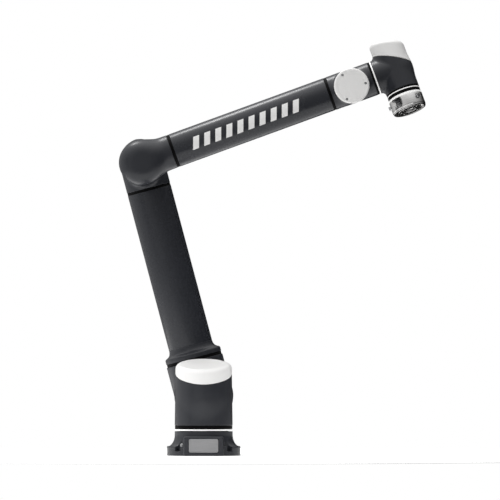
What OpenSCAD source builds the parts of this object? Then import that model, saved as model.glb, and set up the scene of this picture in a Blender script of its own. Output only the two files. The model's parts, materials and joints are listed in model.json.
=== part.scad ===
// Six-axis collaborative robot arm, standing on a round foot that is bolted to a bench.
// Millimetres, +Z up. The origin is on the base axis, at the underside of the foot.
// Every joint has its own actuator: a strain-wave reducer, a hollow motor and a drive board.

/* [Reach] */
// Height of the shoulder axis above the bench
shoulder_z = 150; // [145:1:160]
// Shoulder axis to elbow axis
upper_arm_len = 616; // [500:4:700]
// Elbow axis to first wrist axis
forearm_len = 569; // [449:4:649]
// First wrist axis to tool axis
wrist_len = 120; // [118:1:140]

/* [Rest pose] */
// Lean of the upper arm from the vertical, away from the tool
arm_lean = 14.9; // [0:0.1:30]
// Rise of the forearm above the horizontal
forearm_rise = 20; // [0:1:40]
// Turn of the tool flange about the forearm direction
flange_turn = 14.5; // [0:0.5:30]

/* [Diameters] */
// Foot disc
foot_d = 186; // [184:1:200]
// Turret column at its foot
turret_d = 147.4; // [146:0.2:149]
// Shoulder actuator housing
shoulder_d = 150; // [149:1:152]
// Upper arm collar
collar_d = 145; // [144:1:147]
// Upper arm tube
upper_tube_d = 113.4; // [108:0.2:114]
// Elbow actuator housing
elbow_d = 116; // [115:1:118]
// Forearm tube and both wrist columns
forearm_d = 87; // [86:0.5:88]
// Steel-coloured tool flange
flange_d = 88; // [86:1:92]

/* [Base mount] */
// Bolt circle of the foot
foot_pcd = 170; // [168:1:172]
// Bolt hole of the foot
foot_hole_d = 9; // [8:0.5:9]

/* [Tool mount] */
// Bolt circle of the tool flange
tool_pcd = 50; // [49:1:51]
// Tapping diameter of the tool screws
tool_hole_d = 5; // [4:0.5:6]
// Pilot bore of the tool flange
pilot_d = 31.5; // [30:0.5:32]
// Spigot of the tool flange
spigot_d = 63; // [62:0.5:64]

/* [Hidden] */

$fn = 96;
far = 400;                  // larger than any housing, for cutting halves away
eps = 1;                    // overshoot of a cutting solid
gap = 0.4;                  // running gap between two bodies
journal_gap = 0.05;         // radial clearance of a hub in its bearing

// Planes that the three limbs lie in, measured behind the base axis
arm_y = 168;
forearm_y = 40;
wrist_y = 157;

// Places of the joint axes, in the plane of the limbs
elbow_x = -upper_arm_len * sin(arm_lean);
elbow_z = shoulder_z + upper_arm_len * cos(arm_lean);
wrist_x = elbow_x + forearm_len * cos(forearm_rise);
wrist_z = elbow_z + forearm_len * sin(forearm_rise);

// Heights of the base joint
foot_top = 63;
foot_rim_h = 23;
flare_top = 53;
light_ring_top = 67 - gap / 2;
turret_bottom = 76.5;

// Slanted caps: tilt of the joint line, and of the top face
turret_split = 20;
wrist_split = 26.6;
top_slope = 12;

// Radii and walls
big_wall = 5.5;
small_wall = 3.5;
turret_r = turret_d / 2;
turret_top_r = turret_r - 1.9;
turret_leg_r = turret_r - 2.7;
shoulder_r = shoulder_d / 2;
collar_r = collar_d / 2;
upper_r = upper_tube_d / 2;
elbow_r = elbow_d / 2;
fore_r = forearm_d / 2;
wrist_leg_r = fore_r - 0.6;
wrist1_r = fore_r + 0.9;
flange_r = flange_d / 2;
cable_r = 10;
big_hub_r = 34;
elbow_hub_r = 28;
wrist_hub_r = 20;

// Places along the limbs, from the axis that each limb starts at
turret_leg_end = 84;
shoulder_face = 78;          // shoulder housing to its joint line
shoulder_leg_end = 92.5;
band_w = 8;
collar_from = shoulder_leg_end + band_w;
collar_to = 134;
upper_band_w = 7;
elbow_leg_end = 66.5;        // lower elbow housing, down the arm
elbow_face = 64;
upper_tube_to = upper_arm_len - elbow_leg_end - upper_band_w;
seal_w = 6;
elbow_seal_from = arm_y - elbow_face - gap - seal_w - forearm_y;
rear_band_from = 82;
rear_band_w = 7.5;
front_band_from = forearm_len - 62;
front_band_w = 7;
wrist1_leg_end = forearm_len - front_band_from - front_band_w;
wrist1_face = 44;
wrist2_leg_end = wrist_y - forearm_y - wrist1_face - gap - 4.6;
wrist2_face = 58;
wrist2_seal_w = 5;
thin_ring_w = 3.3;
wrist3_leg_end = wrist_len - wrist2_face - wrist2_seal_w - gap - thin_ring_w;
wrist3_face = 57.2;
seal_a_w = 5;
light_b_w = 2.4;
seal_b_w = 8.4;
tool_ring_from = wrist3_face + seal_a_w + light_b_w + seal_b_w + gap;
flange_from = 79.2;
flange_face = 112;

// ---------------------------------------------------------------- frames

module upper_arm_frame() {
    translate([0, arm_y, shoulder_z]) rotate([0, -arm_lean, 0]) children();
}

module forearm_frame() {
    translate([elbow_x, forearm_y, elbow_z]) rotate([0, 90 - forearm_rise, 0]) children();
}

// Housing frames: +Z runs to the cap, -Z to the joint line, and +Y along the other leg
module turret_frame() translate([0, 0, shoulder_z]) children();
module shoulder_frame() upper_arm_frame() rotate([-90, 180, 0]) children();
module elbow_frame() upper_arm_frame() translate([0, 0, upper_arm_len]) rotate([-90, 0, 0]) children();
module wrist1_frame() forearm_frame() translate([0, 0, forearm_len]) rotate([90, 180, 0]) children();

module wrist2_frame() {
    translate([wrist_x, wrist_y, wrist_z]) rotate([0, 90 - forearm_rise, 0]) rotate([180, 0, 0]) children();
}

module wrist3_frame() {
    translate([wrist_x, wrist_y, wrist_z]) rotate([0, 90 - forearm_rise, 0])
        translate([0, 0, wrist_len]) rotate([0, 0, -flange_turn]) rotate([-90, 0, 90]) children();
}

// ---------------------------------------------------------------- shared shapes

function arc(cx, cy, r, from, to, steps = 8) =
    [for (i = [0:steps]) let (a = from + (to - from) * i / steps) [cx + r * cos(a), cy + r * sin(a)]];

module ring(r, bore, from, to) {
    difference() {
        translate([0, 0, from]) cylinder(r = r, h = to - from);
        translate([0, 0, from - eps]) cylinder(r = bore, h = to - from + 2 * eps);
    }
}

// A cylinder along +Y, from the axis or from a given distance
module leg(r, to, from = 0) {
    rotate([-90, 0, 0]) translate([0, 0, from]) cylinder(r = r, h = to - from);
}

// Everything under a plane that crosses the axis at height z and rises towards +Y
module below(z, tilt) {
    translate([0, 0, z]) rotate([tilt, 0, 0]) translate([-far, -far, -2 * far]) cube(2 * far);
}

module above(z, tilt) {
    translate([0, 0, z]) rotate([tilt, 0, 0]) translate([-far, -far, 0]) cube(2 * far);
}

// Column with a side leg that carries the next joint's hub; its slanted top is closed by a cap
module column_housing(r, top_r, leg_r, face, leg_end, wall, split_z, split, hub_r, hub_len, web) {
    top = split_z + r;
    difference() {
        intersection() {
            union() {
                translate([0, 0, -face]) cylinder(r1 = r, r2 = top_r, h = face + top);
                leg(leg_r, leg_end);
            }
            below(split_z, split);
        }
        translate([0, 0, -face - eps]) cylinder(r = top_r - wall, h = face + top + 2 * eps);
        leg(leg_r - wall, leg_end - web);
        leg(cable_r, leg_end + eps);
    }
    difference() {
        leg(hub_r, leg_end + hub_len, leg_end);
        leg(cable_r, leg_end + hub_len + eps, leg_end - eps);
    }
}

// Rounded hood over a column: its sides are straight, and its top face falls away from the leg
module hood(r, top, round) {
    hull() {
        translate([0, 0, -far / 10]) cylinder(r = r, h = far / 10 + top / 2, $fn = 72);
        translate([0, 0, top - round]) rotate([top_slope, 0, 0])
            rotate_extrude($fn = 72) translate([r - round - 1.2, 0]) circle(r = round, $fn = 28);
    }
}

slant_screw_angles = [36, 144];

module slant_cap(r, top, round, wall, split_z, split, screw_z) {
    intersection() {
        difference() {
            hood(r, top, round);
            hood(r - wall, top - wall, round - wall);
            for (a = slant_screw_angles) screw_seat(a, r, screw_z, cut = 0.2);
        }
        above(split_z, split);
    }
}

// Sunk screw on the slanted cap's shoulder; its seat is the same shape, a little larger and open
module screw_seat(angle, r, z, cut = 0) {
    rotate([0, 0, angle]) translate([r * 0.8, 0, z]) {
        translate([0, 0, -9]) cylinder(r = 1.9 + cut, h = 9);
        translate([0, 0, -cut]) cylinder(r = 3.4 + cut, h = cut > 0 ? 30 : 2.2);
    }
}

module slant_cap_screws(r, z) for (a = slant_screw_angles) screw_seat(a, r, z);

// Actuator housing with a round cap at one end and a leg that holds an arm tube
module drum_housing(r, leg_r, face, back, leg_end, wall) {
    difference() {
        union() {
            translate([0, 0, -face]) cylinder(r = r, h = face + back);
            leg(leg_r, leg_end);
        }
        translate([0, 0, -face - eps]) cylinder(r = r - wall, h = face + back + 2 * eps);
        leg(leg_r - wall, leg_end + eps);
    }
}

// Round cap with a rounded shoulder and a flat face, on three sunk screws
cap_screw_angles = [20.7, 140.7, 260.7];

module drum_cap(r, from, h, wall, round) {
    translate([0, 0, from]) difference() {
        rotate_extrude() polygon(concat([[0, 0], [r, 0]], arc(r - round, h - round, round, 0, 90), [[0, h]]));
        translate([0, 0, -eps]) cylinder(r = r - wall - round / 2, h = h - wall + eps);
        for (a = cap_screw_angles) rotate([0, 0, a]) translate([r * 0.8, 0, 0]) {
            translate([0, 0, -eps]) cylinder(r = 1.8, h = h + 2 * eps);
            translate([0, 0, h - 4]) cylinder(r = 3.2, h = 10);
        }
    }
}

module drum_cap_screws(r, from, h) {
    for (a = cap_screw_angles) rotate([0, 0, a]) translate([r * 0.8, 0, from]) difference() {
        union() {
            translate([0, 0, 1]) cylinder(r = 1.6, h = h - 5);
            translate([0, 0, h - 4]) cylinder(r = 2.9, h = 2.4);
        }
        translate([0, 0, h - 3]) cylinder(r = 1.3, h = 4, $fn = 6);
    }
}

// ---------------------------------------------------------------- actuators, output face at z = 0

module reducer(r, bore, h) {
    difference() {
        union() {
            cylinder(r = r, h = h * 0.45);
            cylinder(r = r * 0.86, h = h);
        }
        translate([0, 0, -eps]) cylinder(r = bore, h = h + 2 * eps);
        for (i = [0:7]) rotate([0, 0, 45 * i + 22.5]) translate([r * 0.93, 0, h * 0.3]) cylinder(r = r * 0.035, h = h);
    }
}

module motor(r, bore, h) {
    difference() {
        union() {
            translate([0, 0, h * 0.22]) cylinder(r = r, h = h * 0.56);
            cylinder(r = r * 0.84, h = h);
        }
        translate([0, 0, -eps]) cylinder(r = bore, h = h + 2 * eps);
    }
}

module drive_board(r, bore, h) {
    board = 1.6;
    difference() {
        union() {
            cylinder(r = r, h = board);
            ring(bore + 7, bore, 0, h);
            for (i = [0:4]) rotate([0, 0, 72 * i])
                translate([r * 0.6, -r * 0.12, board - 0.1]) cube([r * 0.26, r * 0.24, h * 0.6]);
        }
        translate([0, 0, -eps]) cylinder(r = bore, h = h + 2 * eps);
    }
}

// ---------------------------------------------------------------- base

bolt_ring = foot_pcd / 2;
pocket_floor = 11;
pad_w = 100;
pad_h = 48;
pad_y = 95;
plate = [75, 2, 34.6];
plate_z = 8.2;
plate_sink = 1.5;
ledge_z = 49;
socket_pad = [64, 31.5, 50];
socket_pad_y = 62.5;
socket_z = 26;

module foot_profile() {
    flare_r = flare_top - foot_rim_h;
    reach = foot_d / 2 - turret_r;
    polygon(concat(
        [[40, 0], [foot_d / 2, 0], [foot_d / 2, foot_rim_h]],
        [for (i = [1:9]) let (a = 10 * i) [turret_r + reach * (1 - sin(a)), flare_top - flare_r * cos(a)]],
        [[turret_r, foot_top], [62, foot_top], [62, ledge_z], [56, ledge_z], [56, 10], [40, 10]]
    ));
}

// Bolt holes, each at the floor of a pocket that opens through the flare and the rim
module foot_holes() {
    pocket_r = 9;
    for (a = [45:90:315]) rotate([0, 0, a]) translate([bolt_ring, 0, 0]) {
        translate([0, 0, -eps]) cylinder(d = foot_hole_d, h = foot_rim_h);
        translate([0, 0, pocket_floor]) cylinder(r = pocket_r, h = foot_top - 16);
        translate([0, -pocket_r, pocket_floor]) cube([30, 2 * pocket_r, foot_top - 16]);
    }
}

module rounded_plate(size, r) {
    translate([-size[0] / 2, 0, 0]) rotate([-90, 0, 0]) linear_extrude(size[1])
        mirror([0, 1]) hull() for (x = [r, size[0] - r], z = [r, size[2] - r]) translate([x, z]) circle(r, $fn = 32);
}

module base_foot() {
    color("#33343a") difference() {
        union() {
            rotate_extrude() foot_profile();
            translate([-pad_w / 2, -pad_y, 0]) cube([pad_w, pad_y - 60, pad_h]);
            translate([-socket_pad[0] / 2, socket_pad_y, 0]) cube(socket_pad);
        }
        foot_holes();
        translate([0, -pad_y - eps, plate_z]) rounded_plate([plate[0], plate_sink + eps, plate[2]], 5);
        translate([0, 0, socket_z]) leg(11, 100, 50);
    }
}

module base_light_ring() {
    color("#f2f2f0") ring(turret_r - 0.2, 62.2, foot_top, light_ring_top);
}

module rating_plate() {
    color("#929292") translate([0, -pad_y - plate[1] + plate_sink, plate_z])
        rounded_plate([plate[0] - 0.2, plate[1], plate[2]], 4.9);
}

module power_socket() {
    back = socket_pad_y + socket_pad[1];
    color("#8f9296") translate([0, 0, socket_z]) {
        difference() {
            union() {
                translate([-17, back, -17]) cube([34, 3, 34]);
                leg(13, back + 17, back);
                leg(14.5, back + 8, back);
                leg(10.8, back, back - 12);
            }
            leg(10, back + 18, back + 4);
            for (x = [-13.6, 13.6], z = [-13.6, 13.6]) translate([x, 0, z]) leg(1.5, back + 4, back - 1);
        }
        for (a = [0:60:300]) rotate([0, a, 0]) translate([0, 0, 6]) leg(1, back + 13, back + 4);
    }
}

module j1_output_hub() {
    color("#a9abae") {
        ring(61.8, cable_r + 4, ledge_z, light_ring_top);
        ring(big_hub_r, cable_r + 4, light_ring_top, 100);
    }
}

// ---------------------------------------------------------------- turret

turret_split_z = 57.3;
turret_cap_top = 82.5;
turret_round = 13;
turret_screw_z = 85.5;

module turret_housing() {
    color("#36383d") turret_frame() column_housing(
        turret_r, turret_top_r, turret_leg_r, shoulder_z - turret_bottom, turret_leg_end,
        big_wall, turret_split_z, turret_split, big_hub_r, 26, 8);
}

module turret_seal() {
    color("#0c0c0d") ring(turret_r - 0.6, 62, light_ring_top + gap, turret_bottom);
}

module turret_cap() {
    color("#ecebe9") turret_frame() slant_cap(
        turret_top_r + 0.3, turret_cap_top, turret_round, 3, turret_split_z, turret_split, turret_screw_z);
}

module turret_cap_screws() {
    color("#77797c") turret_frame() slant_cap_screws(turret_top_r, turret_screw_z);
}

module j1_reducer() {
    color("#b8babd") translate([0, 0, turret_bottom + 1.5]) reducer(66, big_hub_r + journal_gap, 32);
}

module j1_motor() {
    color("#a87448") translate([0, 0, turret_bottom + 35]) motor(58, 20, 34);
}

module j1_drive_board() {
    color("#2f6b3f") translate([0, 0, turret_bottom + 78]) drive_board(58, 18, 14);
}

// ---------------------------------------------------------------- shoulder and upper arm

shoulder_back = 73;
shoulder_cap_h = 15;

module shoulder_housing() {
    color("#36383d") shoulder_frame()
        drum_housing(shoulder_r, collar_r, shoulder_face, shoulder_back, shoulder_leg_end, big_wall);
}

module shoulder_seal() {
    color("#0c0c0d") shoulder_frame() ring(shoulder_r - 2, 60, -(arm_y - turret_leg_end - gap), -shoulder_face);
}

module shoulder_cap() {
    color("#ecebe9") shoulder_frame() drum_cap(shoulder_r, shoulder_back, shoulder_cap_h, 4, 12);
}

module j2_reducer() {
    color("#b8babd") shoulder_frame() translate([0, 0, -shoulder_face + 2])
        reducer(68, big_hub_r + journal_gap, 32);
}

module j2_motor() {
    color("#a87448") shoulder_frame() translate([0, 0, -shoulder_face + 36]) motor(60, 20, 36);
}

module j2_drive_board() {
    color("#2f6b3f") shoulder_frame() translate([0, 0, 12]) drive_board(60, 18, 16);
}

module shoulder_band() {
    color("#0c0c0d") upper_arm_frame() ring(collar_r - 1, 50, shoulder_leg_end, collar_from);
}

// Flange that steps down to the tube: rounded rim, sloping top, hollow fillet
module arm_collar() {
    rim = 6;
    fillet = 8;
    slope_z = 117;
    color("#36383d") upper_arm_frame() rotate_extrude() polygon(concat(
        [[upper_r - big_wall, collar_from], [collar_r, collar_from]],
        arc(collar_r - rim, collar_from + 8, rim, 0, 80),
        [for (i = [0:8]) let (a = 15 + 75 * i / 8)
            [upper_r + fillet * (1 - sin(a)), slope_z + (collar_to - slope_z) * (1 - cos(a))]],
        [[upper_r - big_wall, collar_to]]
    ));
}

module upper_arm_tube() {
    color("#333539") upper_arm_frame() ring(upper_r, upper_r - big_wall, collar_to, upper_tube_to);
}

module upper_arm_band() {
    color("#0c0c0d") upper_arm_frame()
        ring(upper_r - 0.5, upper_r - big_wall, upper_tube_to, upper_tube_to + upper_band_w);
}

// ---------------------------------------------------------------- elbow

elbow_back = 57.5;
elbow_cap_h = 14;

module elbow_lower_housing() {
    color("#3a3c41") elbow_frame() drum_housing(elbow_r, upper_r, elbow_face, elbow_back, elbow_leg_end, 4.5);
}

module elbow_cap() {
    color("#ecebe9") elbow_frame() drum_cap(elbow_r, elbow_back, elbow_cap_h, 4, 11);
}

module rear_cap_screws() {
    color("#77797c") {
        shoulder_frame() drum_cap_screws(shoulder_r, shoulder_back, shoulder_cap_h);
        elbow_frame() drum_cap_screws(elbow_r, elbow_back, elbow_cap_h);
    }
}

module j3_reducer() {
    color("#b8babd") elbow_frame() translate([0, 0, -elbow_face + 1]) reducer(52, elbow_hub_r + journal_gap, 27);
}

module j3_motor() {
    color("#a87448") elbow_frame() translate([0, 0, -elbow_face + 30]) motor(46, 18, 30);
}

module j3_drive_board() {
    color("#2f6b3f") elbow_frame() translate([0, 0, 6]) drive_board(47, 16, 15);
}

// Drum across the arm, with a domed near end
module elbow_drum(r, near, to, dome) {
    rotate([-90, 0, 0]) rotate_extrude() polygon(concat(
        [[0, near]], arc(r - dome, near + dome, dome, -90, 0, 10), [[r, to], [0, to]]));
}

module elbow_upper_housing() {
    wall = 4.5;
    r = elbow_r - 1;
    near = -54;
    dome = 36;
    root_r = 45;
    to = elbow_seal_from;
    color("#33343a") forearm_frame() {
        difference() {
            union() {
                elbow_drum(r, near, to, dome);
                cylinder(r1 = root_r, r2 = fore_r, h = rear_band_from);
            }
            elbow_drum(r - wall, near + wall, to - 8, dome - wall);
            translate([0, 0, 10]) cylinder(r = fore_r - wall, h = rear_band_from);
            leg(cable_r, to + eps, to - 10);
        }
        difference() {
            leg(elbow_hub_r, to + 25, to);
            leg(cable_r, to + 26, to - eps);
        }
    }
}

module elbow_seal() {
    color("#0c0c0d") forearm_frame() rotate([-90, 0, 0])
        ring(elbow_r - 2, 46, elbow_seal_from, elbow_seal_from + seal_w);
}

// ---------------------------------------------------------------- forearm

module forearm_rear_band() {
    color("#0c0c0d") forearm_frame()
        ring(fore_r - 0.5, fore_r - 4.5, rear_band_from, rear_band_from + rear_band_w);
}

module forearm_tube() {
    color("#3c3e45") forearm_frame()
        ring(fore_r, fore_r - 4.5, rear_band_from + rear_band_w, front_band_from);
}

module forearm_front_band() {
    color("#0c0c0d") forearm_frame()
        ring(fore_r - 0.5, fore_r - 4.5, front_band_from, front_band_from + front_band_w);
}

// ---------------------------------------------------------------- first wrist joint

wrist1_back = 46;
wrist1_cap_h = 12;

module wrist1_housing() {
    color("#3a3c41") wrist1_frame()
        drum_housing(wrist1_r, fore_r, wrist1_face, wrist1_back, wrist1_leg_end, small_wall);
}

module wrist1_cap() {
    color("#dddcda") wrist1_frame() drum_cap(wrist1_r + 0.6, wrist1_back, wrist1_cap_h, 3, 10);
}

module wrist1_cap_screws() {
    color("#77797c") wrist1_frame() drum_cap_screws(wrist1_r + 0.6, wrist1_back, wrist1_cap_h);
}

module j4_reducer() {
    color("#b8babd") wrist1_frame() translate([0, 0, -wrist1_face + 1])
        reducer(39.5, wrist_hub_r + journal_gap, 20);
}

module j4_motor() {
    color("#a87448") wrist1_frame() translate([0, 0, -wrist1_face + 23]) motor(36, 12, 24);
}

module j4_drive_board() {
    color("#2f6b3f") wrist1_frame() translate([0, 0, 10]) drive_board(37, 12, 12);
}

// ---------------------------------------------------------------- second wrist joint

wrist_cap_top = 76;
wrist_round = 12;
wrist_split_z = 28.6;
wrist_screw_z = 73.5;

module wrist_column(face, leg_end) {
    column_housing(fore_r, fore_r - 0.3, wrist_leg_r, face, leg_end, small_wall,
        wrist_split_z, wrist_split, wrist_hub_r, 22, 6);
}

module wrist_cap() {
    slant_cap(fore_r + 0.2, wrist_cap_top, wrist_round, 3, wrist_split_z, wrist_split, wrist_screw_z);
}

module wrist1_seal() {
    face = wrist2_leg_end;
    color("#0c0c0d") wrist2_frame() rotate([-90, 0, 0])
        ring(fore_r - 1, 32, face, face + 4.6);
}

module wrist2_housing() color("#3a3c41") wrist2_frame() wrist_column(wrist2_face, wrist2_leg_end);
module wrist2_cap() color("#ecebe9") wrist2_frame() wrist_cap();
module wrist2_cap_screws() color("#77797c") wrist2_frame() slant_cap_screws(fore_r, wrist_screw_z);

module wrist2_seal() {
    color("#0c0c0d") wrist2_frame() ring(fore_r - 0.5, 32, -wrist2_face - wrist2_seal_w, -wrist2_face);
}

module j5_reducer() {
    color("#b8babd") wrist2_frame() translate([0, 0, -wrist2_face + 1]) reducer(38.5, wrist_hub_r + journal_gap, 20);
}

module j5_motor() {
    color("#a87448") wrist2_frame() translate([0, 0, -wrist2_face + 23]) motor(36, 12, 22);
}

module j5_drive_board() {
    color("#2f6b3f") wrist2_frame() translate([0, 0, -6]) drive_board(37, 12, 12);
}

// ---------------------------------------------------------------- third wrist joint

module wrist2_light_ring() {
    color("#f2f2f0") wrist3_frame() rotate([-90, 0, 0])
        ring(fore_r + 0.1, 32, wrist3_leg_end, wrist3_leg_end + thin_ring_w);
}

module wrist3_housing() color("#36383d") wrist3_frame() wrist_column(wrist3_face, wrist3_leg_end);
module wrist3_cap() color("#ecebe9") wrist3_frame() wrist_cap();
module wrist3_cap_screws() color("#77797c") wrist3_frame() slant_cap_screws(fore_r, wrist_screw_z);

module wrist3_seals() {
    a = wrist3_face;
    b = a + seal_a_w + light_b_w;
    color("#0c0c0d") wrist3_frame() {
        ring(fore_r - 0.4, 32, -a - seal_a_w, -a);
        ring(fore_r - 0.4, 32, -b - seal_b_w, -b);
    }
}

module wrist3_light_ring() {
    a = wrist3_face + seal_a_w;
    color("#f2f2f0") wrist3_frame() ring(fore_r + 0.1, 32, -a - light_b_w, -a);
}

module j6_reducer() {
    color("#b8babd") wrist3_frame() translate([0, 0, -wrist3_face + 1]) reducer(38.5, wrist_hub_r + journal_gap, 20);
}

module j6_motor() {
    color("#a87448") wrist3_frame() translate([0, 0, -wrist3_face + 23]) motor(36, 12, 20);
}

module j6_drive_board() {
    color("#2f6b3f") wrist3_frame() translate([0, 0, -4]) drive_board(37, 12, 12);
}

// ---------------------------------------------------------------- tool flange

tool_socket_angles = [90, 223.5];
tool_socket_z = -91;
pilot_depth = 6.5;
groove_r = 38;
groove_depth = 7;
dowel_d = 6;

module tool_light_ring() {
    color("#f0efed") wrist3_frame() ring(fore_r + 0.3, 32, -flange_from, -tool_ring_from);
}

module tool_flange() {
    color("#b3b1b1") wrist3_frame() difference() {
        union() {
            translate([0, 0, -flange_face]) cylinder(r = flange_r, h = flange_face - flange_from);
            ring(wrist_hub_r, 8, -flange_from, -wrist3_face + 18);
        }
        translate([0, 0, -flange_face - eps]) cylinder(d = pilot_d, h = pilot_depth + eps);
        ring(groove_r, spigot_d / 2, -flange_face - eps, -flange_face + groove_depth);
        for (a = [45:90:315]) rotate([0, 0, a]) translate([tool_pcd / 2, 0, -flange_face - eps])
            cylinder(d = tool_hole_d, h = 12);
        translate([0, tool_pcd / 2, -flange_face - eps]) cylinder(d = dowel_d, h = 7);
        for (a = [0:90:270]) rotate([0, 0, a + 22.5]) translate([11, 0, -flange_face]) {
            translate([0, 0, pilot_depth - eps]) cylinder(r = 1.7, h = 12);
            translate([0, 0, pilot_depth - eps]) cylinder(r = 3, h = 4);
        }
        for (a = tool_socket_angles) rotate([0, 0, a]) translate([36, 0, tool_socket_z])
            rotate([0, 90, 0]) cylinder(r = 6, h = 12);
    }
}

module flange_screws() {
    color("#8d8f92") wrist3_frame() for (a = [0:90:270]) rotate([0, 0, a + 22.5])
        translate([11, 0, -flange_face + pilot_depth]) difference() {
            union() {
                cylinder(r = 1.5, h = 10);
                cylinder(r = 2.8, h = 2.8);
            }
            translate([0, 0, -eps]) cylinder(r = 1.3, h = 2.6, $fn = 6);
        }
}

module tool_sockets() {
    color("#6d6f73") wrist3_frame() for (a = tool_socket_angles)
        rotate([0, 0, a]) translate([36.2, 0, tool_socket_z]) rotate([0, 90, 0]) {
            difference() {
                union() {
                    cylinder(r = 5.8, h = 8.5);
                    cylinder(r = 4.6, h = 13);
                }
                translate([0, 0, 6]) cylinder(r = 3.4, h = 10);
            }
            for (p = [0:120:240]) rotate([0, 0, p]) translate([1.7, 0, 5]) cylinder(r = 0.5, h = 6);
        }
}

// ---------------------------------------------------------------- nodes

base_foot();
base_light_ring();
rating_plate();
power_socket();
j1_output_hub();
turret_housing();
turret_seal();
turret_cap();
turret_cap_screws();
j1_reducer();
j1_motor();
j1_drive_board();
shoulder_housing();
shoulder_seal();
shoulder_cap();
j2_reducer();
j2_motor();
j2_drive_board();
shoulder_band();
arm_collar();
upper_arm_tube();
upper_arm_band();
elbow_lower_housing();
elbow_cap();
rear_cap_screws();
j3_reducer();
j3_motor();
j3_drive_board();
elbow_upper_housing();
elbow_seal();
forearm_rear_band();
forearm_tube();
forearm_front_band();
wrist1_housing();
wrist1_cap();
wrist1_cap_screws();
j4_reducer();
j4_motor();
j4_drive_board();
wrist1_seal();
wrist2_housing();
wrist2_cap();
wrist2_cap_screws();
wrist2_seal();
j5_reducer();
j5_motor();
j5_drive_board();
wrist2_light_ring();
wrist3_housing();
wrist3_cap();
wrist3_cap_screws();
wrist3_seals();
wrist3_light_ring();
j6_reducer();
j6_motor();
j6_drive_board();
tool_light_ring();
tool_flange();
flange_screws();
tool_sockets();
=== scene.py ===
"""Looks of the jointed robot arm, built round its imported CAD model. Lengths are in millimetres
until place() turns them into metres; every shape is made in the frame of its own housing."""

import json
import math

import bmesh
import bpy
import numpy as np
from mathutils import Matrix, Vector


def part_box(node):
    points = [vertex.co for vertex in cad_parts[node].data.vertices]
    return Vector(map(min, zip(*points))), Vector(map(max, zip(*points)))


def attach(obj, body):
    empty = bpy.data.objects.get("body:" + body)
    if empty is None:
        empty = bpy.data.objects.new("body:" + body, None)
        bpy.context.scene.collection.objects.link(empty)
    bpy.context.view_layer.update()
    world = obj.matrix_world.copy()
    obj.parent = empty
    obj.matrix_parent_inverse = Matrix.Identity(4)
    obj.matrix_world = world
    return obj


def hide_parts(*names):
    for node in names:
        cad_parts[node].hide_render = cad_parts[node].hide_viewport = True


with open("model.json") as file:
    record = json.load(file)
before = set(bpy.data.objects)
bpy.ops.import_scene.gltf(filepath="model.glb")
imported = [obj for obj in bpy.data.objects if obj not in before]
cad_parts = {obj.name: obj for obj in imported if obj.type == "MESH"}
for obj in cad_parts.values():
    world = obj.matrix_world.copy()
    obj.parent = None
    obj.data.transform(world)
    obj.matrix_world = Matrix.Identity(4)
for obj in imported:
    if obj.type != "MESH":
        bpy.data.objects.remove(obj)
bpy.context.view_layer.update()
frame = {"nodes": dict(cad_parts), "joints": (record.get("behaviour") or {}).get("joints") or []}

MM = 0.001

# ---------------------------------------------------------------- sizes, as in the CAD model

TURRET_R, TURRET_TOP_R, TURRET_LEG_R = 73.7, 71.8, 71.0
SHOULDER_R, COLLAR_R, UPPER_R = 75.0, 72.5, 56.7
ELBOW_R, FORE_R = 58.0, 43.5
WRIST_LEG_R, WRIST1_R = 42.9, 44.4
FLANGE_R = 44.0
FOOT_R = 93.0
TUBE_WALL, FORE_WALL = 5.5, 4.5
WRIST_BORE_R = 32
FOOT_TOP = 63.0
LIP = 1.1                    # radius where a shell turns in at a joint line
SEAM = 0.5                   # half the gap between a housing and its cap
TOP_SLOPE = math.radians(12)

# ---------------------------------------------------------------- frames, from the joints

JOINT = {j["name"]: (Vector(j["pos_m"]) / MM, Vector(j["axis"]).normalized()) for j in frame["joints"]}
ACROSS = Vector((0, 1, 0))


def mid_y(node):
    lo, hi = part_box(node)
    return (lo[1] + hi[1]) / 2 / MM


def at_depth(joint, y):
    """A point of a cross-wise joint's axis, at that depth."""
    p = JOINT[joint][0]
    return Vector((p.x, y, p.z))


def axes(origin, y, z):
    """Matrix of a frame with that origin and those y and z axes."""
    x = y.cross(z)
    m = Matrix((x, y, z)).transposed().to_4x4()
    m.translation = origin
    return m


ARM_Y, FOREARM_Y = mid_y("upper_arm_tube"), mid_y("forearm_tube")
WRIST_Y = JOINT["wrist_2"][0].y
SHOULDER = at_depth("shoulder", ARM_Y)
ELBOW_ARM, ELBOW_FORE = at_depth("elbow", ARM_Y), at_depth("elbow", FOREARM_Y)
WRIST1_AT, WRIST2_AT = at_depth("wrist_1", FOREARM_Y), at_depth("wrist_1", WRIST_Y)
UP = (ELBOW_ARM - SHOULDER).normalized()
OUT = (WRIST1_AT - ELBOW_FORE).normalized()
TOOL = JOINT["wrist_3"][1]
_gap = JOINT["wrist_3"][0] - WRIST2_AT
WRIST3_AT = WRIST2_AT + OUT * (_gap - TOOL * _gap.dot(TOOL)).dot(OUT)
ARM_LEN = (ELBOW_ARM - SHOULDER).length
FOREARM_LEN = (WRIST1_AT - ELBOW_FORE).length

BASE = Matrix.Identity(4)
TURRET = Matrix.Translation((0, 0, SHOULDER.z))
UPPER = axes(SHOULDER, ACROSS, UP)
SHOULDER_F = axes(SHOULDER, UP, ACROSS)
ELBOW_F = axes(ELBOW_ARM, -UP, ACROSS)
FOREARM = axes(ELBOW_FORE, ACROSS, OUT)
ELBOW_RING_F = axes(ELBOW_FORE, OUT, ACROSS)
WRIST1_F = axes(WRIST1_AT, -OUT, -ACROSS)
WRIST2_F = axes(WRIST2_AT, -ACROSS, -OUT)
WRIST3_F = axes(WRIST3_AT, -OUT, -TOOL)

# Turns a shape made along z so that it runs along the leg, the y axis of a column's frame
ALONG_LEG = Matrix.Rotation(-math.pi / 2, 4, "X")

# ---------------------------------------------------------------- shape fields


def smooth_min(a, b, k):
    h = np.clip(1 - np.abs(a - b) / np.maximum(k, 1e-6), 0, 1)
    return np.minimum(a, b) - h * h * k / 4


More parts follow.
